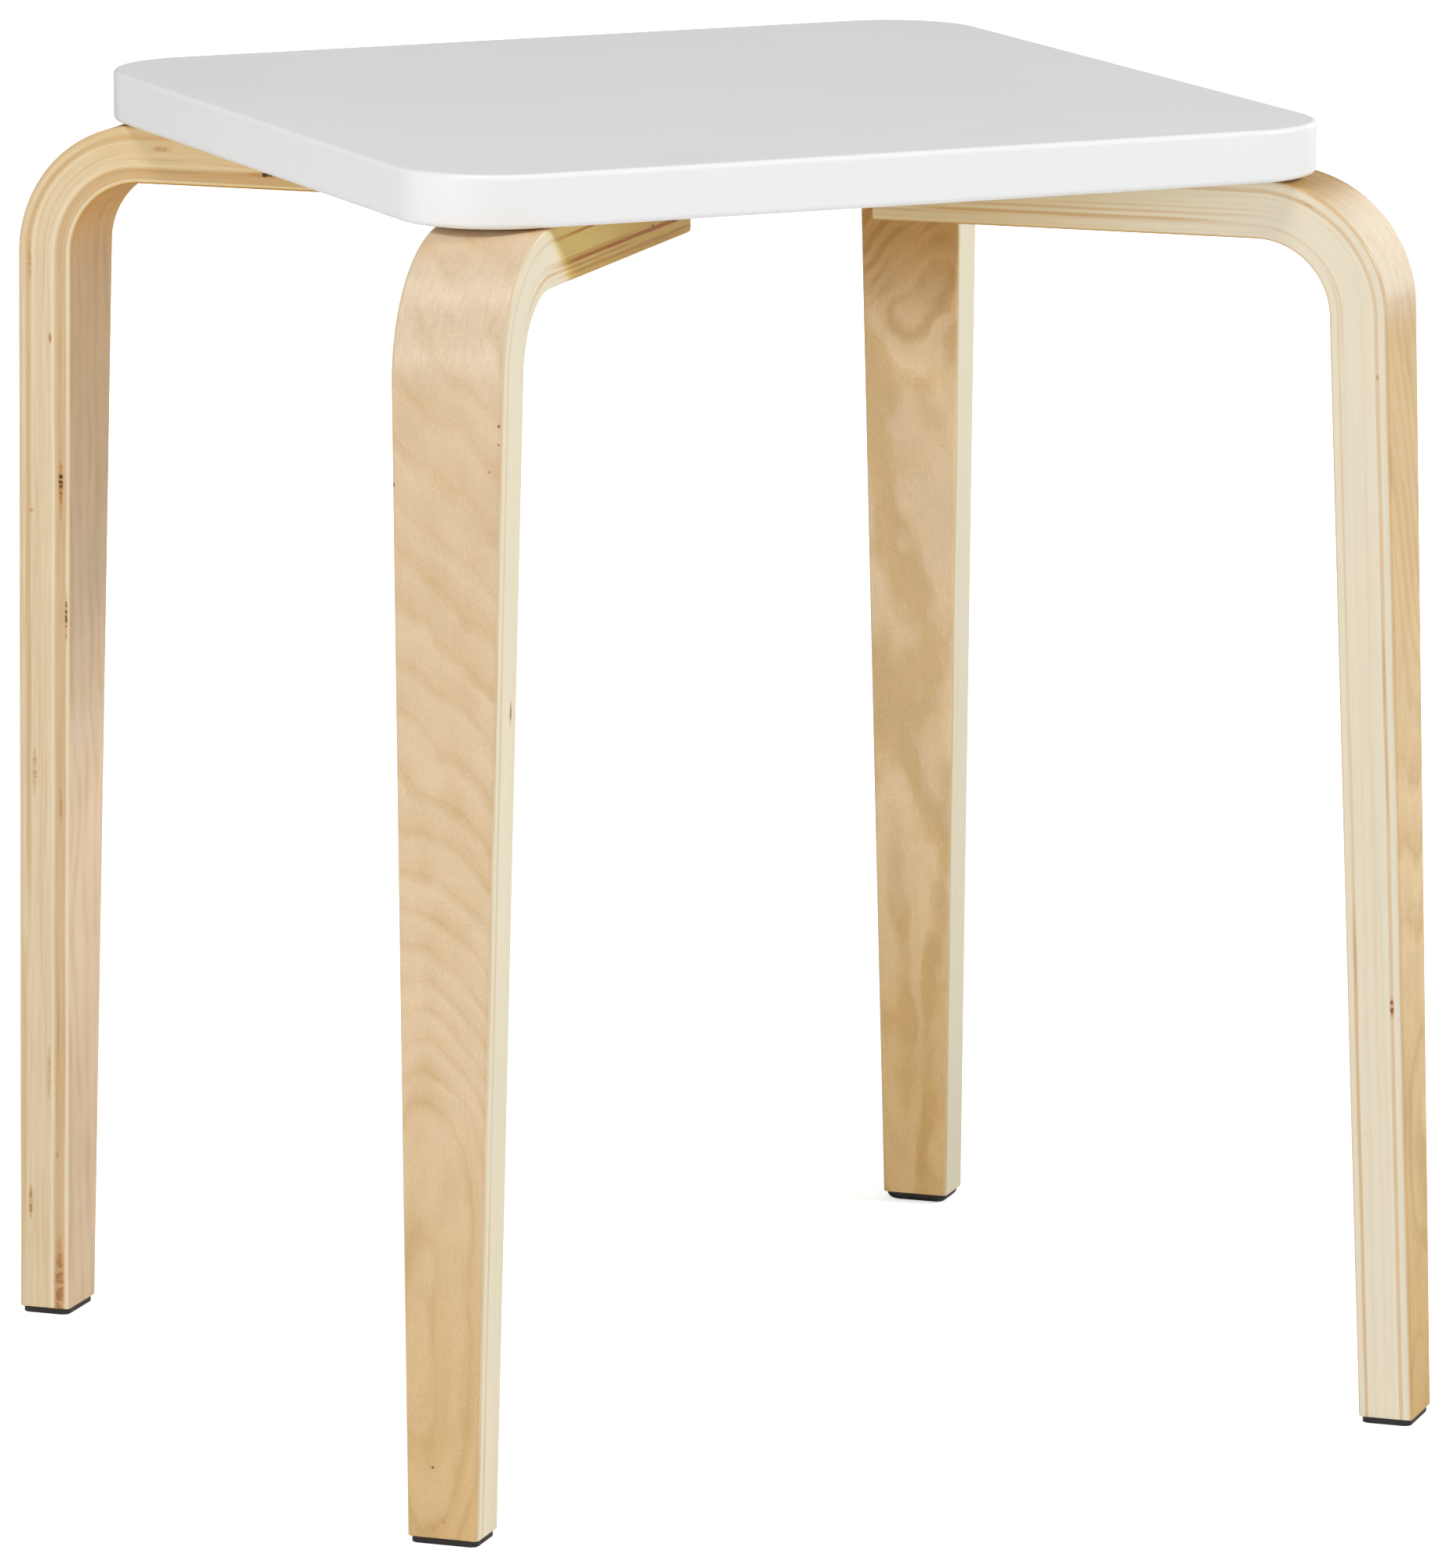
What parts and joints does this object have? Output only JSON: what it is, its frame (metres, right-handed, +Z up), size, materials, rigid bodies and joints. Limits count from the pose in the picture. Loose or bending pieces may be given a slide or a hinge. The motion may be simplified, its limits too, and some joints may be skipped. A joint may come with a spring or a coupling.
{
  "type": "stacking stool",
  "caption": "Stacking stool with a square white-lacquered board on bent laminated birch legs that stand outside its corners, with black plastic glides.",
  "frame": {"origin": "on the floor, under the middle of the board", "axes": "+Z upwards from the floor to the seat; X and Y run along the board's sides, and the leg named front stands towards -X and -Y"},
  "size_m": [0.4011, 0.3934, 0.45],
  "materials": {
    "white_lacquer": "white lacquer, satin",
    "birch": "clear matt lacquer over birch veneer",
    "black_plastic": "moulded, matt",
    "zinc_steel": "zinc plated",
    "brass": "bare"
  },
  "bodies": {
    "root": {"seat_board": "white_lacquer", "leg_front": "birch", "leg_right": "birch", "leg_back": "birch", "leg_left": "birch", "glide_front": "black_plastic", "glide_right": "black_plastic", "glide_back": "black_plastic", "glide_left": "black_plastic", "glide_nail_front": "zinc_steel", "glide_nail_right": "zinc_steel", "glide_nail_back": "zinc_steel", "glide_nail_left": "zinc_steel", "bolt_front_inner": "zinc_steel", "washer_front_inner": "zinc_steel", "insert_front_inner": "brass", "bolt_front_outer": "zinc_steel", "washer_front_outer": "zinc_steel", "insert_front_outer": "brass", "bolt_right_inner": "zinc_steel", "washer_right_inner": "zinc_steel", "insert_right_inner": "brass", "bolt_right_outer": "zinc_steel", "washer_right_outer": "zinc_steel", "insert_right_outer": "brass", "bolt_back_inner": "zinc_steel", "washer_back_inner": "zinc_steel", "insert_back_inner": "brass", "bolt_back_outer": "zinc_steel", "washer_back_outer": "zinc_steel", "insert_back_outer": "brass", "bolt_left_inner": "zinc_steel", "washer_left_inner": "zinc_steel", "insert_left_inner": "brass", "bolt_left_outer": "zinc_steel", "washer_left_outer": "zinc_steel", "insert_left_outer": "brass"}
  },
  "joints": []
}
